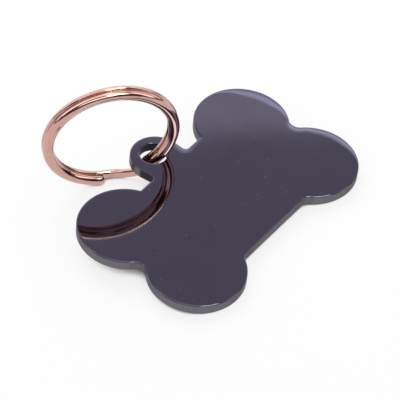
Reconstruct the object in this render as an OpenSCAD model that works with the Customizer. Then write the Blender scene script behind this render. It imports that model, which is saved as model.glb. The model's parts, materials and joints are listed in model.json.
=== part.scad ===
// Bone shaped pet identity tag on a two turn split ring.
//
// The tag lies on a flat surface with its lug end lifted by the ring. The ring
// stands on its edge and leans, threaded through the hole in the lug.
// Origin: the middle of the bone, on its back face. +X runs along the bone, +Y
// points to the lug and +Z up.

/* [Tag plate] */
// Distance of each lobe's centre from the middle, along the bone
lobe_x = 13.5; // [12.5:0.1:15]
// Distance of each lobe's centre from the middle, across the bone
lobe_y = 6.1; // [5.8:0.1:6.5]
// Radius of the four lobes
lobe_r = 7; // [6.7:0.1:7.4]
// Thickness of the sheet that the tag is stamped from
tag_t = 1.6; // [1.2:0.1:2]
// Distance of the waist's edge from the middle, on the lug side
waist_top = 8.7; // [8.2:0.1:9.2]
// Distance of the waist's edge from the middle, on the other side
waist_bottom = 9.6; // [9:0.1:10]
// Radius of the corners between the waist and the lower lobes
waist_r = 1.5; // [0.8:0.1:2]
// Radius of the corner between the two lobes at each end
notch_r = 1.5; // [0.8:0.1:2]
// Bevel along the tag's outline
tag_edge = 0.15; // [0.1:0.05:0.3]

/* [Lug] */
// Distance of the lug's round end from the middle of the bone, to its centre
lug_y = 11.3; // [11:0.1:12]
// Metal beside the hole, from the hole to the side of the lug
lug_wall = 1.8; // [1.4:0.1:2.2]
// How far the hole lies from the lug's centre, towards its tip
hole_shift = 0.5; // [0.2:0.1:0.7]
// How much narrower the neck is at the waist, on each side
neck_inset = 0.2; // [0.1:0.05:0.5]
// Radius of the corners between the neck and the waist
neck_r = 0.65; // [0.4:0.05:0.9]
// How far buffing has worn each face of the narrow lug below the bone's
lug_wear = 0.02; // [0.01:0.01:0.04]
// Bevel round the rim of the hole
hole_edge = 0.12; // [0.08:0.02:0.2]
// Least clearance between the ring's wire and the hole
hole_clear = 0.05; // [0.03:0.01:0.1]

/* [Split ring] */
// Outer diameter of the ring
ring_od = 19.7; // [18:0.1:22]
// Width of the flattened wire, measured along the ring's radius
wire_w = 1.6; // [1.4:0.05:1.8]
// Thickness of the flattened wire, measured along the ring's axis
wire_t = 1.06; // [0.9:0.02:1.15]
// Gap between the two turns
turn_gap = 0.05; // [0.03:0.01:0.1]
// Length of wire that crosses from one turn to the other
jog_l = 4.7; // [4:0.1:5.5]
// Room along the ring between the crossing and each end of the wire
tip_gap = 0.6; // [0.4:0.1:1]
// Where on the ring the first end of the wire lies, in degrees
tip_at = -84; // [-90:1:-75]

/* [How it lies] */
// Slope of the tag, whose lug end is lifted by the ring, in degrees
tag_tilt = 6.1; // [5.9:0.05:7]
// Direction in which the ring points away from the hole, in degrees
ring_heading = 140.8; // [125:0.1:150]
// How far the ring leans from upright, in degrees
ring_lean = 9.4; // [5:0.1:12]
// How far the middle of the wire lies outward of the hole's centre
wire_shift = 0.2; // [0.1:0.02:0.24]

/* [Hidden] */
$fn = 96;
TAG_COLOR = [0.27, 0.25, 0.31];
RING_COLOR = [0.83, 0.62, 0.55];

// Facets of the wire: points round its section and steps along the crossing
SECTION_POINTS = 20;
JOG_STEPS = 10;
// Roundness of the wire's section, where 2 is an ellipse
SECTION_POWER = 2.2;
// How far the curve of a corner or of the lug starts inside its neighbour
blend = 0.01;
// How far the surface of the wire's crossing and round ends lies inside the turns'
wire_step = 0.015;
// How far each end of the crossing reaches into the turn that it joins
join = 0.2;
// How far a filled corner reaches into the plate behind it
bite = 1;
// How far a cutter runs past the face that it cuts
overrun = 0.5;

// Wire and ring, in the ring's own frame: its axis is Z, and X is level
ring_r = (ring_od - wire_w) / 2;
turn_z = (wire_t + turn_gap) / 2;
tip_sweep = degrees_along(wire_w / 2);
jog_high = tip_at - degrees_along(tip_gap);
jog_low = jog_high - degrees_along(jog_l);
tip_two = jog_low - degrees_along(tip_gap);
jog_points = [for (j = [0:JOG_STEPS], p = inner_section()) jog_point(j, p)];

// Tag in its own frame: the back face is Z = 0. It lies on the rims of two lobes
hole_y = lug_y + hole_shift;
floor_z = -sin(tag_tilt) * (lobe_y + lobe_r - tag_edge);
hole_at = on_tag([0, hole_y, tag_t / 2]);

// The ring's level, rising and axis directions
ring_out = [cos(ring_heading), sin(ring_heading), 0];
ring_up = [-sin(ring_lean) * sin(ring_heading), sin(ring_lean) * cos(ring_heading), cos(ring_lean)];
ring_axis = cross(ring_out, ring_up);

// The ring's lowest point, measured on points of its wire, is on the surface
LOW_END = -60;
low_points = concat(jog_points, [
    for (a = [tip_at + tip_sweep:1:LOW_END], p = section()) wire_point(a, p - [0, turn_z])
], [
    for (a = [jog_high:1:LOW_END], p = section()) wire_point(a, p + [0, turn_z])
]);
ring_z = floor_z - min([for (q = low_points) q.y * ring_up.z + q.z * ring_axis.z]);

// The middle of its wire passes the hole
thread_r = ring_r - wire_shift;
thread_angle = asin((ring_z - hole_at.z) / (thread_r * ring_up.z));
ring_at = hole_at + thread_r * (cos(thread_angle) * ring_out + sin(thread_angle) * ring_up);

// The hole lets the slanted double wire through, measured on points of the wire
THREAD_SPAN = 40;
THREAD_STEPS = 80;
thread_points = [
    for (i = [0:THREAD_STEPS], side = [-1, 1], p = section())
    from_tag(on_ring(180 + thread_angle + THREAD_SPAN * (i / THREAD_STEPS - 1 / 2), p + [0, side * turn_z]))
];
wire_reach = max([
    for (q = thread_points)
    if (q.z > 0 && q.z < tag_t) norm([q.x, q.y - hole_y])
]);
hole_r = wire_reach + hole_clear;
lug_r = hole_r + lug_wall;
lug_t = tag_t - 2 * lug_wear;

// The neck's side runs from the waist to where it touches the lug's round end
neck_x = lug_r - neck_inset;
neck_foot = [neck_x, waist_top];
touch_angle = atan2(waist_top - lug_y, neck_x) + acos(lug_r / norm([neck_x, lug_y - waist_top]));
neck_head = [lug_r * cos(touch_angle), lug_y + lug_r * sin(touch_angle)];
neck_dir = (neck_head - neck_foot) / norm(neck_head - neck_foot);
neck_run = neck_r / tan(acos(neck_dir.x) / 2);
neck_corner = neck_foot + [neck_run, neck_r];
neck_end = neck_foot + neck_run * neck_dir;

// Centres of the other corner radii
notch_x = lobe_x + sqrt(pow(lobe_r + notch_r, 2) - pow(lobe_y, 2));
waist_corner_y = waist_bottom + waist_r;
waist_corner_x = lobe_x - sqrt(pow(lobe_r + waist_r, 2) - pow(waist_corner_y - lobe_y, 2));

// Least gap of the wire to itself, measured on points of the crossing and the ends
TIP_STEPS = 12;
tip_points = [
    for (i = [0:TIP_STEPS], p = section())
    each [
        wire_point(tip_at + tip_sweep * i / TIP_STEPS, [p.x * tip_width(i), p.y - turn_z]),
        wire_point(tip_two - tip_sweep * i / TIP_STEPS, [p.x * tip_width(i), p.y + turn_z])
    ]
];
tip_distance = min([for (a = jog_points) min([for (b = tip_points) norm(a - b)])]);
echo(str("Least gap of the ring's wire to itself: ", min(turn_gap, tip_distance), " mm"));
echo(str("Hole diameter: ", 2 * hole_r, " mm"));
echo(str("Hole centre: ", hole_at, " ring centre: ", ring_at, " ring axis: ", ring_axis));
echo(str("The part lies on Z = ", floor_z));

// Angle that a length takes up along the ring
function degrees_along(length) = length / ring_r * 180 / PI;

// Share of the wire's width that is left at one step of a round end
function tip_width(i) = sqrt(1 - pow(1 - i / TIP_STEPS, 2));

// A power that keeps the sign
function signed_power(v, e) = sign(v) * pow(abs(v), e);

// Points of the wire's section, from its middle: X outward, Y along the ring's axis
function section(from = 0, to = 360 - 360 / SECTION_POINTS) = [
    for (a = [from:360 / SECTION_POINTS:to])
    [
        wire_w / 2 * signed_power(cos(a), 2 / SECTION_POWER),
        wire_t / 2 * signed_power(sin(a), 2 / SECTION_POWER)
    ]
];

// The same section, drawn in by a small step so that it ends inside a turn
function inner_section(from = 0, to = 360 - 360 / SECTION_POINTS) = [
    for (p = section(from, to)) [p.x * (1 - 2 * wire_step / wire_w), p.y * (1 - 2 * wire_step / wire_t)]
];

// A section point p in the ring's own frame, where the wire is at this angle
function wire_point(angle, p) = [(ring_r + p.x) * cos(angle), (ring_r + p.x) * sin(angle), p.y];

// The same point where the ring stands
function on_ring(angle, p) =
    let (q = wire_point(angle, p))
    ring_at + q.x * ring_out + q.y * ring_up + q.z * ring_axis;

// A point of the crossing, which eases from the lower turn to the upper one
function jog_point(j, p) =
    let (s = j / JOG_STEPS, ease = s * s * (3 - 2 * s), sunk = degrees_along(join))
    wire_point(
        jog_low - sunk + s * (jog_high - jog_low + 2 * sunk),
        p + [0, turn_z * (2 * ease - 1)]
    );

// From the tag's own frame to where the tag lies, and back
function on_tag(p) = [
    p.x,
    p.y * cos(tag_tilt) - p.z * sin(tag_tilt),
    p.y * sin(tag_tilt) + p.z * cos(tag_tilt)
];
function from_tag(p) = [
    p.x,
    p.y * cos(tag_tilt) + p.z * sin(tag_tilt),
    p.z * cos(tag_tilt) - p.y * sin(tag_tilt)
];

// A round plate of thickness t with bevelled rims
module disc(r, t) {
    rotate_extrude()
        polygon([
            [0, 0], [r - tag_edge, 0], [r, tag_edge],
            [r, t - tag_edge], [r - tag_edge, t], [0, t]
        ]);
}

// The space outside a concave corner, wider at both faces to bevel the rims
module corner_cutter(r, t) {
    reach = r + blend;
    flare = tag_edge + overrun;
    rotate_extrude()
        polygon([
            [0, -overrun], [reach + flare, -overrun], [reach, tag_edge],
            [reach, t - tag_edge], [reach + flare, t + overrun], [0, t + overrun]
        ]);
}

// Metal of thickness t that fills a corner up to the round of radius r about its centre
module filled_corner(outline, centre, r, t) {
    difference() {
        linear_extrude(t)
            polygon(outline);
        translate([centre.x, centre.y, 0])
            corner_cutter(r, t);
    }
}

module waist() {
    top = waist_top;
    low = -waist_bottom;
    translate([-lobe_x, 0, 0])
        rotate([90, 0, 90])
            linear_extrude(2 * lobe_x)
                polygon([
                    [low + tag_edge, 0], [top - tag_edge, 0], [top, tag_edge],
                    [top, tag_t - tag_edge], [top - tag_edge, tag_t], [low + tag_edge, tag_t],
                    [low, tag_t - tag_edge], [low, tag_edge]
                ]);
}

// Half of the neck's stock: bevelled along the neck's right side, wide to the left
module neck_side() {
    start = neck_foot - bite * neck_dir;
    translate([start.x, start.y, 0])
        rotate([0, 0, atan2(neck_dir.y, neck_dir.x)])
            rotate([90, 0, 90])
                linear_extrude(norm(neck_head - start))
                    polygon([
                        [blend + tag_edge, 0], [2 * lug_r, 0], [2 * lug_r, lug_t],
                        [blend + tag_edge, lug_t], [blend, lug_t - tag_edge], [blend, tag_edge]
                    ]);
}

module lug() {
    translate([0, lug_y, 0])
        disc(lug_r, lug_t);
    intersection() {
        neck_side();
        mirror([1, 0, 0])
            neck_side();
    }
    for (side = [0, 1])
        mirror([side, 0, 0])
            filled_corner(
                [
                    neck_corner, neck_end - [bite, 0],
                    [0, waist_top - bite], [neck_corner.x, waist_top - bite]
                ],
                neck_corner,
                neck_r,
                lug_t
            );
}

module hole() {
    flare = hole_edge + overrun;
    translate([0, hole_y, 0]) {
        translate([0, 0, -overrun])
            cylinder(r = hole_r, h = tag_t + 2 * overrun);
        translate([0, 0, lug_wear - overrun])
            cylinder(r1 = hole_r + flare, r2 = hole_r, h = flare);
        translate([0, 0, lug_wear + lug_t - hole_edge])
            cylinder(r1 = hole_r, r2 = hole_r + flare, h = flare);
    }
}

module bone() {
    waist();
    for (x = [-lobe_x, lobe_x], y = [-lobe_y, lobe_y])
        translate([x, y, 0])
            disc(lobe_r, tag_t);
    for (side = [0, 1])
        mirror([side, 0, 0]) {
            filled_corner(
                [[lobe_x, -lobe_y], [notch_x, 0], [lobe_x, lobe_y]],
                [notch_x, 0],
                notch_r,
                tag_t
            );
            filled_corner(
                [
                    [waist_corner_x, bite - waist_bottom],
                    [waist_corner_x, -waist_corner_y],
                    [lobe_x, -lobe_y]
                ],
                [waist_corner_x, -waist_corner_y],
                waist_r,
                tag_t
            );
        }
}

module tag_plate() {
    color(TAG_COLOR)
        rotate([tag_tilt, 0, 0])
            difference() {
                union() {
                    bone();
                    translate([0, 0, lug_wear])
                        lug();
                }
                hole();
            }
}

// One turn of wire between two angles, at height z on the ring's axis
module turn(from, to, z) {
    rotate([0, 0, from])
        rotate_extrude(angle = to - from)
            polygon([for (p = section()) p + [ring_r, z]]);
}

// Round end of the wire
module tip(angle, z) {
    rotate([0, 0, angle])
        translate([ring_r, 0, z])
            rotate_extrude()
                polygon(inner_section(-90, 90));
}

// The wire's crossing from the lower turn to the upper one
module jog() {
    n = SECTION_POINTS;
    last = JOG_STEPS * n;
    ends = [jog_point(0, [0, 0]), jog_point(JOG_STEPS, [0, 0])];
    polyhedron(
        points = concat(jog_points, ends),
        faces = [
            for (j = [0:JOG_STEPS - 1], k = [0:n - 1])
            let (a = j * n + k, b = j * n + (k + 1) % n)
            each [[a, b, a + n], [b, b + n, a + n]],
            for (k = [0:n - 1])
            each [
                [k, last + n, (k + 1) % n],
                [last + k, last + (k + 1) % n, last + n + 1]
            ]
        ]
    );
}

module split_ring() {
    color(RING_COLOR)
        translate(ring_at)
            rotate([90 - ring_lean, 0, ring_heading]) {
                turn(tip_at + tip_sweep, jog_low + 360, -turn_z);
                tip(tip_at + tip_sweep, -turn_z);
                jog();
                turn(jog_high, tip_two - tip_sweep + 360, turn_z);
                tip(tip_two - tip_sweep, turn_z);
            }
}

tag_plate();
split_ring();
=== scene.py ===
"""A bone shaped metal pet tag with its lug end lifted by the split ring that it hangs on."""
import json
import math

import bpy
import numpy as np
from mathutils import Matrix, Vector
from mathutils.geometry import delaunay_2d_cdt


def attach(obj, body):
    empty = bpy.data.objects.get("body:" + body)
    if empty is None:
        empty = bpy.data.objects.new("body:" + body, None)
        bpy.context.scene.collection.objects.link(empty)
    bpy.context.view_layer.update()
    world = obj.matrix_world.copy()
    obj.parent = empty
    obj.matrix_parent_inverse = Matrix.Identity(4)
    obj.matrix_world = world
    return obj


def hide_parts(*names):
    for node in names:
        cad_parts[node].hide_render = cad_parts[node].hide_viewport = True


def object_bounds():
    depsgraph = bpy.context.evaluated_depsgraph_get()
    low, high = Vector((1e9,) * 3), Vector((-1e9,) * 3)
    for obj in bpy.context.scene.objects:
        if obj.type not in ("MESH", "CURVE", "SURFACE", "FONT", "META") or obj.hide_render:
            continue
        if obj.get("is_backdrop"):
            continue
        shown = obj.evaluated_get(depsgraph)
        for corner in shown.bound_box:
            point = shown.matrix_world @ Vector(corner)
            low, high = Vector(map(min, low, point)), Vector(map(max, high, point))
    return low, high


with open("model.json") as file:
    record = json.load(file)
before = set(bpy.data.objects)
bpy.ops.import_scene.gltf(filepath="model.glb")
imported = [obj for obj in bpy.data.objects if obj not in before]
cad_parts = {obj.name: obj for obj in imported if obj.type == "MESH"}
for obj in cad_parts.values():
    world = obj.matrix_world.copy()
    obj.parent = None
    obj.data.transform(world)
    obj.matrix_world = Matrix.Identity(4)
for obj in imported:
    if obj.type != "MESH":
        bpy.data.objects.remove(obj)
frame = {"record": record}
CAD_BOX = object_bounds()

# Tag plate: one piece of stainless sheet, stamped with its lug and hole, tumbled until its rims are soft,
# polished to a mirror and plated dark grey. The stamped sides stay a little matt. In the hole and in the
# inner corners their colour is painted darker, as painted shade.
MM = 0.001
LOBE_X = 13.5 * MM
LOBE_Y = 6.1 * MM
LOBE_R = 7.0 * MM
SHEET = 1.6 * MM
WAIST_TOP = 8.7 * MM
WAIST_LOW = 9.6 * MM
WAIST_R = 1.5 * MM
CORNER_R = 0.1 * MM
NOTCH_R = 1.5 * MM
HOLE_R = 2.005 * MM
HOLE_Y = 11.8 * MM
LUG_R = HOLE_R + 1.8 * MM
LUG_Y = 11.3 * MM
NECK_X = LUG_R - 0.2 * MM
NECK_R = 0.65 * MM
NECK_REACH = NECK_X + 2 * NECK_R
OUTLINE_STEP = 0.12 * MM
HOLE_POINTS = 120
SMOOTH_SPAN = 31
SOFT_WIDTH = 0.15 * MM
SOFT_MORE = 1.85 * MM
SOFT_SIDE = np.array([0.985, 0.174])
SOFT_FROM = 0.35
SOFT_FULL = 0.95
SOFT_LOW_SHARE = 0.6
SOFT_WIDTH_LUG = 0.1 * MM
SOFT_SLOPE = 0.046
SOFT_ROWS = 11
RIM_R = 0.16 * MM
RIM_ROWS = 7
FLAT_STRIP = 0.12 * MM
SIDE_SHARE = 0.6
# The edge profile's rows from rim to rim are the stamped side
SIDE_START = SOFT_ROWS + RIM_ROWS - 1
SIDE_END = SIDE_START + 4
BEND_LEAST = 1e-4
CORNER_GAIN = 3
OPEN_CORNER = 0.45


def mount(name):
    """The record's mount of this name: its place and its direction."""
    row = next(m for m in frame["record"]["mounts"] if m["name"] == name)
    return np.array(row["pos_m"], float), np.array(row["axis"], float)


def round_run(centre, radius, start, end, hollow=False):
    """Points on a circle from angle start to end, in degrees: centre + radius (cos a, sin a).
    The outward direction is (cos a, sin a), or its opposite where the metal is outside the circle."""
    count = max(4, int(abs(math.radians(end - start)) * radius / OUTLINE_STEP) + 1)
    a = np.radians(np.linspace(start, end, count))
    ray = np.stack([np.cos(a), np.sin(a)], 1)
    return np.concatenate([np.asarray(centre) + radius * ray, -ray if hollow else ray], 1)


def straight_run(start, end):
    """Points p + s (q - p) on a line, with the metal on its left, so outward is to its right."""
    start, end = np.asarray(start), np.asarray(end)
    length = np.linalg.norm(end - start)
    s = np.linspace(0, 1, max(3, int(length / (4 * OUTLINE_STEP)) + 1))[:, None]
    way = (end - start) / length
    out = np.tile([way[1], -way[0]], (len(s), 1))
    return np.concatenate([start + s * (end - start), out], 1)


def angle_to(centre, point):
    """Direction from centre to point in degrees."""
    return math.degrees(math.atan2(point[1] - centre[1], point[0] - centre[0]))


def tag_outline():
    """The bone's closed outline, counter-clockwise from the middle of its lower side, as rows
    (x, y, nx, ny). The right half is a chain of arcs and lines that touch each other, and the left half is
    its mirror image."""
    low_lobe, top_lobe = (LOBE_X, -LOBE_Y), (LOBE_X, LOBE_Y)
    low_y = -WAIST_LOW - WAIST_R
    low = (LOBE_X - math.sqrt((LOBE_R + WAIST_R) ** 2 - (low_y + LOBE_Y) ** 2), low_y)
    notch = (LOBE_X + math.sqrt((LOBE_R + NOTCH_R) ** 2 - LOBE_Y ** 2), 0.0)
    top_y = WAIST_TOP + CORNER_R
    top = (LOBE_X - math.sqrt((LOBE_R + CORNER_R) ** 2 - (top_y - LOBE_Y) ** 2), top_y)
    foot = np.array([NECK_X, WAIST_TOP])
    touch = math.acos(LUG_R / math.hypot(NECK_X, LUG_Y - WAIST_TOP))
    touch += math.atan2(WAIST_TOP - LUG_Y, NECK_X)
    head = np.array([LUG_R * math.cos(touch), LUG_Y + LUG_R * math.sin(touch)])
    way = (head - foot) / np.linalg.norm(head - foot)
    run = NECK_R / math.tan(math.acos(way[0]) / 2)
    neck = foot + [run, NECK_R]
    neck_end = foot + run * way
    low_at = angle_to(low, low_lobe)
    notch_at = angle_to(low_lobe, notch)
    top_at = angle_to(top_lobe, top)
    half = [
        straight_run((0, -WAIST_LOW), (low[0], -WAIST_LOW)),
        round_run(low, WAIST_R, 90, low_at, hollow=True),
        round_run(low_lobe, LOBE_R, low_at - 180, notch_at),
        round_run(notch, NOTCH_R, notch_at + 180, 180 - notch_at, hollow=True),
        round_run(top_lobe, LOBE_R, -notch_at, top_at),
        round_run(top, CORNER_R, top_at - 180, -90, hollow=True),
        straight_run((top[0], WAIST_TOP), (neck[0], WAIST_TOP)),
        round_run(neck, NECK_R, 270, angle_to(neck, neck_end) % 360, hollow=True),
        straight_run(neck_end, head),
        round_run((0, LUG_Y), LUG_R, math.degrees(touch), 90),
    ]
    right = np.concatenate([half[0]] + [part[1:] for part in half[1:]])
    left = right[::-1][1:-1] * [-1, 1, -1, 1]
    return np.concatenate([right, left])


def edge_profile(soft):
    """The edge's profile from the front face round to the back face, as rows (inset, z). The face dips by
    slope w / 2 (1 - s)^2 over its last stretch w, and the rim is a quarter circle. The side goes straight
    down by a point at a share of the rim's end plus half the sheet, and the back is the front's mirror
    image."""
    s = np.linspace(1, 0, SOFT_ROWS)
    drop = SOFT_SLOPE * soft / 2
    strip = [[RIM_R + soft + FLAT_STRIP, SHEET]]
    face = np.stack([RIM_R + soft * s, SHEET - drop * (1 - s) ** 2], 1)
    a = np.radians(np.linspace(0, 90, RIM_ROWS)[1:])
    arc = np.stack([RIM_R - RIM_R * np.sin(a), SHEET - drop - RIM_R + RIM_R * np.cos(a)], 1)
    side = [[0.0, SIDE_SHARE * (arc[-1, 1] + SHEET / 2)]]
    front = np.concatenate([strip, face, arc, side])
    back = front[::-1] * [1, -1] + [0, SHEET]
    return np.concatenate([front, [[0.0, SHEET / 2]], back])


def band(outline, widths):
    """Grid of points round an outline: each column is the edge profile for that point's own soft width,
    laid inward along the outline's normal: p - inset n, at height z."""
    grid = np.stack([edge_profile(w) for w in widths], 1)
    x = outline[None, :, 0] - grid[:, :, 0] * outline[None, :, 2]
    y = outline[None, :, 1] - grid[:, :, 0] * outline[None, :, 3]
    return np.stack([x, y, grid[:, :, 1]], 2)


def grid_faces(index):
    """Quads between the rows of a grid of point numbers whose columns join up. A row that repeats one
    number is a pole, and its quads become triangles."""
    upper, lower = index[:-1], index[1:]
    quads = np.stack([upper, lower, np.roll(lower, -1, 1), np.roll(upper, -1, 1)], 2)
    return [list(dict.fromkeys(quad)) for quad in quads.reshape(-1, 4).tolist()]


def flat_fill(loops, index):
    """Triangles of the flat area between an outer loop and a hole, on the loops' own points, whose numbers
    in the mesh are given by index."""
    points = [Vector(p) for loop in loops for p in loop[:, :2].tolist()]
    edges = []
    start = 0
    for loop in loops:
        n = len(loop)
        edges += [(start + i, start + (i + 1) % n) for i in range(n)]
        start += n
    faces = delaunay_2d_cdt(points, edges, [], 1, 1e-9)[2]
    outer, inner = (loop[:, :2] for loop in loops)
    kept = []
    for face in faces:
        middle = np.mean([points[i] for i in face], 0)
        if inside(middle, outer) and not inside(middle, inner):
            kept.append([index[i] for i in face])
    return kept


def inside(point, loop):
    """True where a ray from the point crosses the loop an odd number of times."""
    a, b = loop, np.roll(loop, -1, 0)
    cross = (a[:, 1] > point[1]) != (b[:, 1] > point[1])
    dy = np.where(cross, b[:, 1] - a[:, 1], 1)
    x = a[:, 0] + (point[1] - a[:, 1]) * (b[:, 0] - a[:, 0]) / dy
    return np.count_nonzero(cross & (point[0] < x)) % 2 == 1


def new_piece(name, points, faces, smooth=True):
    """A mesh object of this name, with its place in its mesh."""
    mesh = bpy.data.meshes.new(name)
    mesh.from_pydata(np.asarray(points).tolist(), [], faces)
    mesh.polygons.foreach_set("use_smooth", np.full(len(mesh.polygons), smooth))
    mesh.update()
    piece = bpy.data.objects.new(name, mesh)
    bpy.context.scene.collection.objects.link(piece)
    return piece


def smoothed(values):
    """Values round a closed outline, averaged under a raised cosine SMOOTH_SPAN points wide."""
    kernel = np.hanning(SMOOTH_SPAN)
    half = SMOOTH_SPAN // 2
    wrapped = np.concatenate([values[-half:], values, values[:half]])
    return np.convolve(wrapped, kernel / kernel.sum(), "valid")


def soft_widths(outline):
    """Width of the soft edge at each point of the outline: w = w0 + w1 q, where q grows as the square of
    how far the right half's outline faces the buffed side, and less so on the lower lobe. Round the lug its
    own width takes over."""
    far = np.clip((outline[:, 2:] @ SOFT_SIDE - SOFT_FROM) / (SOFT_FULL - SOFT_FROM), 0, 1) ** 2
    upper = np.clip(outline[:, 1] / LOBE_Y, 0, 1)
    far *= (SOFT_LOW_SHARE + (1 - SOFT_LOW_SHARE) * upper) * (outline[:, 0] > 0)
    lug = np.clip((outline[:, 1] - WAIST_TOP) / (LUG_Y - WAIST_TOP), 0, 1)
    lug[np.abs(outline[:, 0]) > NECK_REACH] = 0
    widths = SOFT_WIDTH + SOFT_MORE * smoothed(far)
    return widths + (SOFT_WIDTH_LUG - widths) * smoothed(lug)


def corner_shade_share(outline):
    """How far each point of the outline lies in an inner corner: 1 where the outward direction turns
    clockwise to the next point and 0 elsewhere, averaged along the outline, times CORNER_GAIN, and no more
    than 1. The corners away from the lug are more open, so there OPEN_CORNER multiplies it. The share
    paints shade: the stamped side's colour is made darker by it."""
    after = np.roll(outline[:, 2:], -1, 0)
    bend = outline[:, 2] * after[:, 1] - outline[:, 3] * after[:, 0]
    corner = np.minimum(CORNER_GAIN * smoothed((bend < -BEND_LEAST).astype(float)), 1)
    neck = (np.abs(outline[:, 0]) < NECK_REACH) & (outline[:, 1] > 0)
    return corner * np.where(neck, 1, OPEN_CORNER)


def tag_mesh():
    """The plate: an edge band round the outline, one round the hole, and two flat faces between them. All
    of it is turned about X by the slope at which the tag lies. It gives the points, the faces, the numbers
    of the faces on the stamped sides, and each point's share of an inner corner, which is 1 in the hole."""
    outline = tag_outline()
    outer = band(outline, soft_widths(outline))
    a = np.linspace(0, 2 * np.pi, HOLE_POINTS, endpoint=False)[::-1]
    ray = np.stack([np.cos(a), np.sin(a)], 1)
    rim = np.concatenate([[0, HOLE_Y] + HOLE_R * ray, -ray], 1)
    inner = band(rim, np.full(len(rim), SOFT_WIDTH_LUG))
    points = np.concatenate([outer.reshape(-1, 3), inner.reshape(-1, 3)])
    index = [np.arange(grid[:, :, 0].size).reshape(grid.shape[:2]) for grid in (outer, inner)]
    index[1] += index[0].size
    faces = []
    sides = []
    for part in index:
        start = len(faces)
        faces += grid_faces(part)
        sides += range(start + SIDE_START * part.shape[1], start + SIDE_END * part.shape[1])
    faces += flat_fill([outer[0], inner[0]], [*index[0][0], *index[1][0]])
    back = flat_fill([outer[-1], inner[-1]], [*index[0][-1], *index[1][-1]])
    faces += [face[::-1] for face in back]
    _, up = mount("front_face")
    turned = points.copy()
    turned[:, 1] = points[:, 1] * up[2] + points[:, 2] * up[1]
    turned[:, 2] = points[:, 2] * up[2] - points[:, 1] * up[1]
    # Each point's share of painted shade on the stamped side, in full in the hole
    hollow = np.ones(len(points))
    hollow[:index[0].size] = np.tile(corner_shade_share(outline), len(outer))
    return turned, faces, sides, hollow


def metal(name, base, rough):
    """A metal material with its colour and roughness set on the shader itself."""
    made = bpy.data.materials.new(name)
    made.use_nodes = True
    shader = made.node_tree.nodes["Principled BSDF"]
    shader.inputs["Base Color"].default_value = (*base, 1)
    shader.inputs["Roughness"].default_value = rough
    shader.inputs["Metallic"].default_value = 1.0
    return made, made.node_tree, shader


def join(tree, start, end):
    """Link an output socket to an input socket."""
    tree.links.new(start, end)


def sums(tree, operation, first, second=None, third=None):
    """A maths node on sockets or numbers, and its result."""
    made = tree.nodes.new("ShaderNodeMath")
    made.operation = operation
    for socket, value in zip(made.inputs, (first, second, third)):
        if isinstance(value, bpy.types.NodeSocket):
            join(tree, value, socket)
        elif value is not None:
            socket.default_value = value
    return made.outputs[0]


def dotted(tree, vector, axis):
    """The part of a vector socket along an axis."""
    made = tree.nodes.new("ShaderNodeVectorMath")
    made.operation = "DOT_PRODUCT"
    join(tree, vector, made.inputs[0])
    made.inputs[1].default_value = axis
    return made.outputs["Value"]


def eased(tree, value, low, high):
    """A smooth step from 0 at low to 1 at high."""
    made = tree.nodes.new("ShaderNodeMapRange")
    made.interpolation_type = "SMOOTHSTEP"
    join(tree, value, made.inputs["Value"])
    made.inputs["From Min"].default_value = low
    made.inputs["From Max"].default_value = high
    return made.outputs["Result"]


def mixed(tree, share, first, second):
    """A colour mix of sockets or colours."""
    made = tree.nodes.new("ShaderNodeMix")
    made.data_type = "RGBA"
    join(tree, share, made.inputs["Factor"])
    for name, value in (("A", first), ("B", second)):
        socket = [i for i in made.inputs if i.name == name and i.type == "RGBA"][0]
        if isinstance(value, bpy.types.NodeSocket):
            join(tree, value, socket)
        else:
            socket.default_value = (*value, 1)
    return [o for o in made.outputs if o.type == "RGBA"][0]


def noise(tree, place, scale, detail=2.0):
    """A noise value at a place socket, with its scale in cells per unit."""
    made = tree.nodes.new("ShaderNodeTexNoise")
    join(tree, place, made.inputs["Vector"])
    made.inputs["Scale"].default_value = scale
    made.inputs["Detail"].default_value = detail
    return made.outputs["Fac"]


def stretched(tree, place, scale):
    """A place socket multiplied along its axes."""
    made = tree.nodes.new("ShaderNodeVectorMath")
    made.operation = "MULTIPLY"
    join(tree, place, made.inputs[0])
    made.inputs[1].default_value = scale
    return made.outputs[0]


def specks(tree, place, cell, radius, share, across="2D"):
    """Share of small round specks: in each cell of this size a point, kept for a share of the cells,
    with 1 within half the radius of it and 0 from the radius outwards."""
    made = tree.nodes.new("ShaderNodeTexVoronoi")
    made.voronoi_dimensions = across
    join(tree, place, made.inputs["Vector"])
    made.inputs["Scale"].default_value = 1 / cell
    dot = eased(tree, made.outputs["Distance"], radius / cell, 0.5 * radius / cell)
    split = tree.nodes.new("ShaderNodeSeparateColor")
    join(tree, made.outputs["Color"], split.inputs[0])
    return sums(tree, "MULTIPLY", dot, sums(tree, "LESS_THAN", split.outputs[0], share))


def mark(tree, place, centre, way, length, width):
    """Share of a short scratch: 1 about its centre, and 0 from half its length along the way and from half
    its width across it."""
    way = np.array(way) / np.linalg.norm(way)
    across = (-way[1], way[0], 0)
    shares = []
    for axis, half in (((*way, 0), length / 2), (across, width / 2)):
        off = sums(tree, "SUBTRACT", dotted(tree, place, axis), float(np.dot(axis[:2], centre)))
        shares.append(eased(tree, sums(tree, "ABSOLUTE", off), half, 0.4 * half))
    return sums(tree, "MULTIPLY", *shares)


PLATE_COLOR = (0.080, 0.070, 0.108)
PLATE_MOTTLE = (0.086, 0.075, 0.115)
SIDE_COLOR = (0.175, 0.167, 0.185)
# Painted shade: the stamped side's colour in the hole and the inner corners
SIDE_PAINTED_SHADE = (0.036, 0.034, 0.039)
SIDE_GLANCE = (0.55, 0.55, 0.57)
DUST_COLOR = (0.42, 0.41, 0.44)
MOTTLE_SCALE = 90.0
SWIRL_SCALE = 500.0
SHEAR_SCALE = 2200.0
SHEAR_STRETCH = (1, 1, 0.12)
SHEAR_SHADES = (0.82, 1.15)
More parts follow.
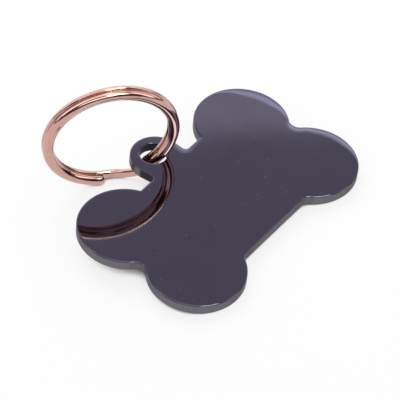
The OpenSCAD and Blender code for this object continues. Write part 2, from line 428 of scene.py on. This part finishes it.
# Size of a cell, radius of a speck, and share of the cells that hold one
DUST = (3.1 * MM, 0.1 * MM, 0.22)
FINE_DUST = (1.3 * MM, 0.06 * MM, 0.15)
FINE_DUST_SHARE = 0.6
DIRT_SHARE = 0.28
SCRATCH_WIDTH = 0.09 * MM
# Centre, way and length of each scratch
SCRATCHES = [
    ((-9.6 * MM, -1.5 * MM), (1.0, 0.1), 0.7 * MM),
    ((12.0 * MM, 2.6 * MM), (0.3, 1.0), 0.4 * MM),
    ((3.2 * MM, -4.4 * MM), (1.0, -0.6), 0.35 * MM),
]
plate_finish, plate_tree, plate_shader = metal("dark_mirror_plate", PLATE_COLOR, 0.05)
side_finish, side_tree, side_shader = metal("stamped_side", SIDE_COLOR, 0.32)
side_shader.inputs["Specular Tint"].default_value = (*SIDE_GLANCE, 1)

# Dust, a few short scratches and a faint mottle on the mirror
plate_place = plate_tree.nodes.new("ShaderNodeTexCoord").outputs["Object"]
cloud = noise(plate_tree, plate_place, MOTTLE_SCALE)
shade = mixed(plate_tree, eased(plate_tree, cloud, 0.35, 0.7), PLATE_COLOR, PLATE_MOTTLE)
dust = specks(plate_tree, plate_place, *DUST)
fine_dust = specks(plate_tree, plate_place, *FINE_DUST)
dirt = sums(plate_tree, "MAXIMUM", dust, sums(plate_tree, "MULTIPLY", fine_dust, FINE_DUST_SHARE))
for centre, way, length in SCRATCHES:
    scratch = mark(plate_tree, plate_place, centre, way, length, SCRATCH_WIDTH)
    dirt = sums(plate_tree, "MAXIMUM", dirt, scratch)
dirt = sums(plate_tree, "MULTIPLY", dirt, DIRT_SHARE)
join(plate_tree, mixed(plate_tree, dirt, shade, DUST_COLOR), plate_shader.inputs["Base Color"])
swirl = noise(plate_tree, plate_place, SWIRL_SCALE, 4.0)
polish = sums(plate_tree, "MULTIPLY_ADD", swirl, 0.04, 0.03)
join(plate_tree, sums(plate_tree, "MULTIPLY_ADD", dirt, 0.5, polish), plate_shader.inputs["Roughness"])

# Upright shear lines on the stamped side, and painted shade: a darker colour in the hole and the inner
# corners
side_place = side_tree.nodes.new("ShaderNodeTexCoord").outputs["Object"]
shear = noise(side_tree, stretched(side_tree, side_place, SHEAR_STRETCH), SHEAR_SCALE, 3.0)
side_shades = [[share * c for c in SIDE_COLOR] for share in SHEAR_SHADES]
side_shade = mixed(side_tree, shear, *side_shades)
hollow = side_tree.nodes.new("ShaderNodeAttribute")
hollow.attribute_name = "hollow"
painted_corner_shade = eased(side_tree, hollow.outputs["Fac"], 0.2, 1.0)
side_shade = mixed(side_tree, painted_corner_shade, side_shade, SIDE_PAINTED_SHADE)
join(side_tree, side_shade, side_shader.inputs["Base Color"])
join(side_tree, sums(side_tree, "MULTIPLY_ADD", shear, 0.2, 0.22), side_shader.inputs["Roughness"])

tag_points, tag_faces, tag_sides, tag_corner_shade = tag_mesh()
tag = new_piece("tag_plate_polished", tag_points, tag_faces)
corner_shade_map = tag.data.attributes.new("hollow", "FLOAT", "POINT")
corner_shade_map.data.foreach_set("value", tag_corner_shade.astype(np.float32))
tag.data.materials.append(plate_finish)
tag.data.materials.append(side_finish)
slots = np.zeros(len(tag.data.polygons), np.int32)
slots[tag_sides] = 1
tag.data.polygons.foreach_set("material_index", slots)
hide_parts("tag_plate")
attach(tag, "tag")

# Split ring: two turns of flattened steel wire, wound side by side from one length, with round ends where
# the wire crosses over, then plated rose gold and polished.
RING_R = 9.05 * MM
WIRE_W = 1.585 * MM
WIRE_T = 1.06 * MM
TURN_GAP = 0.05 * MM
JOG_L = 4.7 * MM
TIP_GAP = 0.6 * MM
TIP_AT = -84
CROWN = 0.68 * MM
CROWN_POWER = 1.9
MATE_POWER = 2.0
CROWN_TURN = 16
CROWN_START = 0.25
TIP_POWER = 0.6
ALONG = 600
AROUND = 40
TIP_ROWS = 12


def eased_step(x):
    """3 x^2 - 2 x^3 between 0 and 1, and level outside."""
    x = np.clip(x, 0, 1)
    return x * x * (3 - 2 * x)


def powered(value, power):
    """|value|^(2 / power) with the value's sign."""
    return np.sign(value) * np.abs(value) ** (2 / power)


def wire_grid():
    """The wire's surface: u runs along two turns from tip to tip, in widths of the wire, and v round the
    section. A point is R + w/2 cos(v) out and z + h sin(v) along the axis, each with its power, where h is
    the crown's height on the free side and the rest of the thickness on the side of the other turn. Where
    the wire crosses over, its two sides are alike. Near a tip the section shrinks by
    t = sqrt(1 - (1 - x)^2), where x is the distance from the tip in half widths. It gives the points, and
    for each of them (u, t cos v, t sin v)."""
    gap = math.degrees(TIP_GAP / RING_R)
    high = TIP_AT - gap
    low = high - math.degrees(JOG_L / RING_R)
    half = WIRE_W / 2
    length = math.radians(low - gap + 720 - TIP_AT) * RING_R
    tip = half * (1 - np.cos(np.linspace(0, np.pi / 2, TIP_ROWS)))[:-1]
    run = np.concatenate([tip, np.linspace(half, length - half, ALONG), length - tip[::-1]])[:, None]
    angle = TIP_AT + np.degrees(run / RING_R)
    width = np.sqrt(1 - (1 - np.clip(np.minimum(run, length - run) / half, 0, 1)) ** 2)
    crossing = eased_step((angle - low - 360) / (high - low))
    free = eased_step((angle - high - 360) / CROWN_TURN + CROWN_START)
    free = free - eased_step((low + 360 - angle) / CROWN_TURN + CROWN_START)
    v = np.linspace(0, 2 * np.pi, AROUND, endpoint=False)[None, :]
    share = (1 + free * np.sign(np.sin(v))) / 2
    reach = WIRE_T - CROWN + (2 * CROWN - WIRE_T) * share
    power = MATE_POWER + (CROWN_POWER - MATE_POWER) * share
    r = RING_R + half * width * powered(np.cos(v), power)
    z = (WIRE_T + TURN_GAP) * (crossing - 0.5) - free * (CROWN - WIRE_T / 2)
    z = z + reach * width ** TIP_POWER * powered(np.sin(v), power)
    turn = np.radians(angle)
    place = np.stack([run / WIRE_W + 0 * v, width * np.cos(v), width * np.sin(v)], 2)
    return np.stack([r * np.cos(turn), r * np.sin(turn), z], 2), place


def ring_axes():
    """The ring's level, rising and axis directions from the record's eye, and its centre."""
    centre, axis = mount("ring_eye")
    level = np.cross([0, 0, 1], axis)
    level /= np.linalg.norm(level)
    return centre, np.stack([level, np.cross(axis, level), axis])


def with_poles(grid):
    """A grid's points in one list, with its first and last rows as a single point each."""
    return np.concatenate([grid[0, :1], grid[1:-1].reshape(-1, 3), grid[-1, :1]])


wire, wire_place = wire_grid()
ring_centre, ring_frame = ring_axes()
ring_points = ring_centre + with_poles(wire) @ ring_frame
ring_index = np.arange(wire.shape[0] * AROUND).reshape(-1, AROUND) - AROUND + 1
ring_index = np.clip(ring_index, 0, len(ring_points) - 1)
ring = new_piece("split_ring_polished", ring_points, grid_faces(ring_index))
wire_map = ring.data.attributes.new("wire", "FLOAT_VECTOR", "POINT")
wire_map.data.foreach_set("vector", with_poles(wire_place).astype(np.float32).ravel())
RING_BASE = (0.62, 0.365, 0.32)
RING_TINT = (0.50, 0.47, 0.44)
RING_DEEP = (0.44, 0.26, 0.225)
RING_NICK = (0.16, 0.08, 0.07)
LINE_STRETCH = (0.5, 4.1, 4.1)
TINT_STRETCH = (0.35, 0.6, 0.6)
TINT_SHARE = 0.45
NICK_STRETCH = (WIRE_W, 0.4 * WIRE_W, 0.4 * WIRE_W)
NICKS = (0.7 * MM, 0.07 * MM, 0.25)
NICK_SHARE = 0.7
LINE_DEPTH = 0.02 * MM
ring_finish, ring_tree, ring_shader = metal("rose_gold_wire", RING_BASE, 0.08)
wire_node = ring_tree.nodes.new("ShaderNodeAttribute")
wire_node.attribute_name = "wire"
wire_spot = wire_node.outputs["Vector"]
lines = noise(ring_tree, stretched(ring_tree, wire_spot, LINE_STRETCH), 1.0, 3.0)
join(ring_tree, sums(ring_tree, "MULTIPLY_ADD", lines, 0.10, 0.03), ring_shader.inputs["Roughness"])
tint = noise(ring_tree, stretched(ring_tree, wire_spot, TINT_STRETCH), 1.0)
tint = sums(ring_tree, "MULTIPLY", eased(ring_tree, tint, 0.56, 0.72), TINT_SHARE)
ring_shade = mixed(ring_tree, tint, RING_BASE, RING_TINT)
ring_shade = mixed(ring_tree, eased(ring_tree, lines, 0.5, 0.8), ring_shade, RING_DEEP)
nicks = specks(ring_tree, stretched(ring_tree, wire_spot, NICK_STRETCH), *NICKS, "3D")
ring_shade = mixed(ring_tree, sums(ring_tree, "MULTIPLY", nicks, NICK_SHARE), ring_shade, RING_NICK)
join(ring_tree, ring_shade, ring_shader.inputs["Base Color"])
ring_bump = ring_tree.nodes.new("ShaderNodeBump")
ring_bump.inputs["Strength"].default_value = 0.25
ring_bump.inputs["Distance"].default_value = LINE_DEPTH
join(ring_tree, lines, ring_bump.inputs["Height"])
join(ring_tree, ring_bump.outputs["Normal"], ring_shader.inputs["Normal"])
ring.data.materials.append(ring_finish)
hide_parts("split_ring")
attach(ring, "ring")

# Studio: a pale floor, a white room with soft boxes in it, one key lamp and a long lens. The room's light
# and dark zones are what the mirror plate shows.
FLOOR_REACH = 4.0
FLOOR_COLOR = (0.98, 0.98, 0.98)
FLOOR_GLOW = 0.8
COVER_REACH = 6 * MM
floor_z = CAD_BOX[0][2]
floor = new_piece(
    "floor",
    [(x * FLOOR_REACH, y * FLOOR_REACH, floor_z) for x, y in ((-1, -1), (1, -1), (1, 1), (-1, 1))],
    [[0, 1, 2, 3]],
    smooth=False,
)
floor_finish = bpy.data.materials.new("pale_floor")
floor_finish.use_nodes = True
floor_tree = floor_finish.node_tree
floor_shader = floor_tree.nodes["Principled BSDF"]
floor_shader.inputs["Base Color"].default_value = (*FLOOR_COLOR, 1)
floor_shader.inputs["Roughness"].default_value = 0.9
floor_shader.inputs["Specular IOR Level"].default_value = 0.0
floor_paths = floor_tree.nodes.new("ShaderNodeLightPath")
glow = floor_tree.nodes.new("ShaderNodeEmission")
glow.inputs["Color"].default_value = (1, 1, 1, 1)
glow.inputs["Strength"].default_value = 1.0
floor_mix = floor_tree.nodes.new("ShaderNodeMixShader")
# The covered floor has no glow of its own, so that the side walls mirror it in shade
cover = floor_tree.nodes.new("ShaderNodeAmbientOcclusion")
cover.inputs["Distance"].default_value = COVER_REACH
clear = eased(floor_tree, cover.outputs["AO"], 0.12, 0.42)
camera_ray = floor_paths.outputs["Is Camera Ray"]
seen = sums(floor_tree, "MAXIMUM", camera_ray, floor_paths.outputs["Is Glossy Ray"])
glow_share = sums(floor_tree, "MULTIPLY", sums(floor_tree, "MULTIPLY", seen, FLOOR_GLOW), clear)
join(floor_tree, glow_share, floor_mix.inputs[0])
join(floor_tree, floor_shader.outputs[0], floor_mix.inputs[1])
join(floor_tree, glow.outputs[0], floor_mix.inputs[2])
join(floor_tree, floor_mix.outputs[0], floor_tree.nodes["Material Output"].inputs["Surface"])
floor.data.materials.append(floor_finish)
floor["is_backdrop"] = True

world = bpy.data.worlds.new("white_room")
bpy.context.scene.world = world
world.use_nodes = True
room = world.node_tree
ROOM_LEVEL = 0.72
CEILING = (0.74, 0.74, 0.74)
# Sine of the height above the horizon, and the light there
ROOM_BANDS = [
    (0.0, (0.10, 0.09, 0.09)),
    (0.08, (0.12, 0.11, 0.11)),
    (0.12, (1.3, 1.4, 1.4)),
    (0.40, (1.5, 1.6, 1.6)),
    (0.66, (1.7, 1.85, 1.85)),
    (0.675, (1.9, 2.0, 2.0)),
    (0.688, (3.4, 3.6, 3.4)),
    (0.704, (2.5, 2.9, 2.9)),
    (1.0, (2.5, 2.9, 2.9)),
]
PALE_WALL = (1.52, 1.58, 1.50)
NEAR_DARK = (0.08, 0.07, 0.07)
NEAR_TOP = (0.38, 0.36, 0.36)
FAR_WAY = (0.6, 0.8, 0.0)
WALL_LINE = (-0.5007, -0.5804, 0.6422)
# Each soft box's azimuth and height in degrees, half width, half height, soft edge and light
PANELS = [
    (60, 90, 0.42, 0.42, 0.06, (1.5, 1.5, 1.5)),
    (60, 80, 0.12, 0.10, 0.02, (3.6, 4.4, 4.4)),
    (-125, 35, 0.45, 0.12, 0.05, (3.0, 3.0, 3.0)),
    (-50, 45, 0.16, 0.5, 0.05, (2.6, 2.6, 2.6)),
    (150, 30, 0.2, 0.35, 0.05, (2.4, 2.4, 2.4)),
    (-166, 49, 0.24, 0.13, 0.04, (18.0, 23.0, 17.0)),
]


def panel(tree, heading, azimuth, height, half_width, half_height, soft):
    """Share of a soft edged rectangle seen in a direction: with a, b, c the panel's level, upright and
    facing axes, it is where |d.a / d.c| < half_width and |d.b / d.c| < half_height."""
    az, el = math.radians(azimuth), math.radians(height)
    c = (math.sin(az) * math.cos(el), math.cos(az) * math.cos(el), math.sin(el))
    a = (math.cos(az), -math.sin(az), 0)
    b = (-math.sin(az) * math.sin(el), -math.cos(az) * math.sin(el), math.cos(el))
    front = sums(tree, "MAXIMUM", dotted(tree, heading, c), 0.001)
    shares = []
    for axis, half in ((a, half_width), (b, half_height)):
        off = sums(tree, "ABSOLUTE", sums(tree, "DIVIDE", dotted(tree, heading, axis), front))
        shares.append(eased(tree, off, half + soft, half - soft))
    return sums(tree, "MULTIPLY", *shares)


heading = room.nodes.new("ShaderNodeTexCoord").outputs["Generated"]
level = dotted(room, heading, (0, 0, 1))
bands = room.nodes.new("ShaderNodeValToRGB")
join(room, level, bands.inputs["Fac"])
ramp = bands.color_ramp
while len(ramp.elements) < len(ROOM_BANDS):
    ramp.elements.new(0.5)
for element, (place, colour) in zip(ramp.elements, ROOM_BANDS):
    element.position = place
    element.color = (*colour, 1)
room_colour = mixed(room, eased(room, level, 0.708, 0.714), bands.outputs["Color"], PALE_WALL)
ceiling = eased(room, dotted(room, heading, WALL_LINE), -0.006, 0.001)
room_colour = mixed(room, ceiling, room_colour, CEILING)
near = eased(room, dotted(room, heading, FAR_WAY), 0.1, -0.25)
near_wall = mixed(room, eased(room, level, 0.25, 0.9), NEAR_DARK, NEAR_TOP)
room_colour = mixed(room, near, room_colour, near_wall)
for azimuth, height, half_width, half_height, soft, colour in PANELS:
    share = panel(room, heading, azimuth, height, half_width, half_height, soft)
    room_colour = mixed(room, share, room_colour, colour)
paths = room.nodes.new("ShaderNodeLightPath")
back = room.nodes["Background"]
plain = mixed(room, paths.outputs["Is Glossy Ray"], (ROOM_LEVEL,) * 3, room_colour)
join(room, mixed(room, paths.outputs["Is Camera Ray"], plain, (1, 1, 1)), back.inputs["Color"])

KEY_SIZE = (0.5, 0.35)
KEY_PLACE = Vector((0.30, 0.45, 0.42))
KEY_POWER = 2.4
key_data = bpy.data.lights.new("key", "AREA")
key_data.shape = "RECTANGLE"
key_data.size, key_data.size_y = KEY_SIZE
key_data.energy = KEY_POWER
key = bpy.data.objects.new("key", key_data)
key.location = KEY_PLACE
key.rotation_euler = (-KEY_PLACE).to_track_quat("-Z", "Y").to_euler()
key.visible_glossy = False
bpy.context.scene.collection.objects.link(key)

# The camera was matched to the tag's outline in the photograph
CAMERA_TURN = 52.745
CAMERA_DROP = 42.685
CAMERA_ROLL = -0.694
CAMERA_DISTANCE = 354.5 * MM
CAMERA_TARGET = np.array([-3.003, 1.078, 1.724]) * MM
FOCAL_PIXELS = 2528.3
PICTURE_PIXELS = 400


def camera_axes(turn, drop, roll):
    """Right, up and forward of a camera that looks turn degrees from +Y towards +X and drop degrees down,
    turned by roll degrees about its view."""
    t, d, r = np.radians([turn, drop, roll])
    ahead = np.array([np.sin(t) * np.cos(d), np.cos(t) * np.cos(d), -np.sin(d)])
    right = np.cross(ahead, [0, 0, 1])
    right /= np.linalg.norm(right)
    up = np.cross(right, ahead)
    return right * np.cos(r) + up * np.sin(r), up * np.cos(r) - right * np.sin(r), ahead


right, up, ahead = camera_axes(CAMERA_TURN, CAMERA_DROP, CAMERA_ROLL)
camera_data = bpy.data.cameras.new("camera")
camera_data.sensor_width = 36
camera_data.lens = FOCAL_PIXELS / PICTURE_PIXELS * camera_data.sensor_width
camera = bpy.data.objects.new("camera", camera_data)
matrix = np.eye(4)
matrix[:3, :3] = np.stack([right, up, -ahead], 1)
matrix[:3, 3] = CAMERA_TARGET - CAMERA_DISTANCE * ahead
camera.matrix_world = Matrix(matrix.tolist())
bpy.context.scene.collection.objects.link(camera)
bpy.context.scene.camera = camera
bpy.context.scene.view_settings.view_transform = "Standard"

boxes = {"cad": CAD_BOX, "visual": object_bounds()}
boxes = {name: [[float(v) for v in corner] for corner in box] for name, box in boxes.items()}
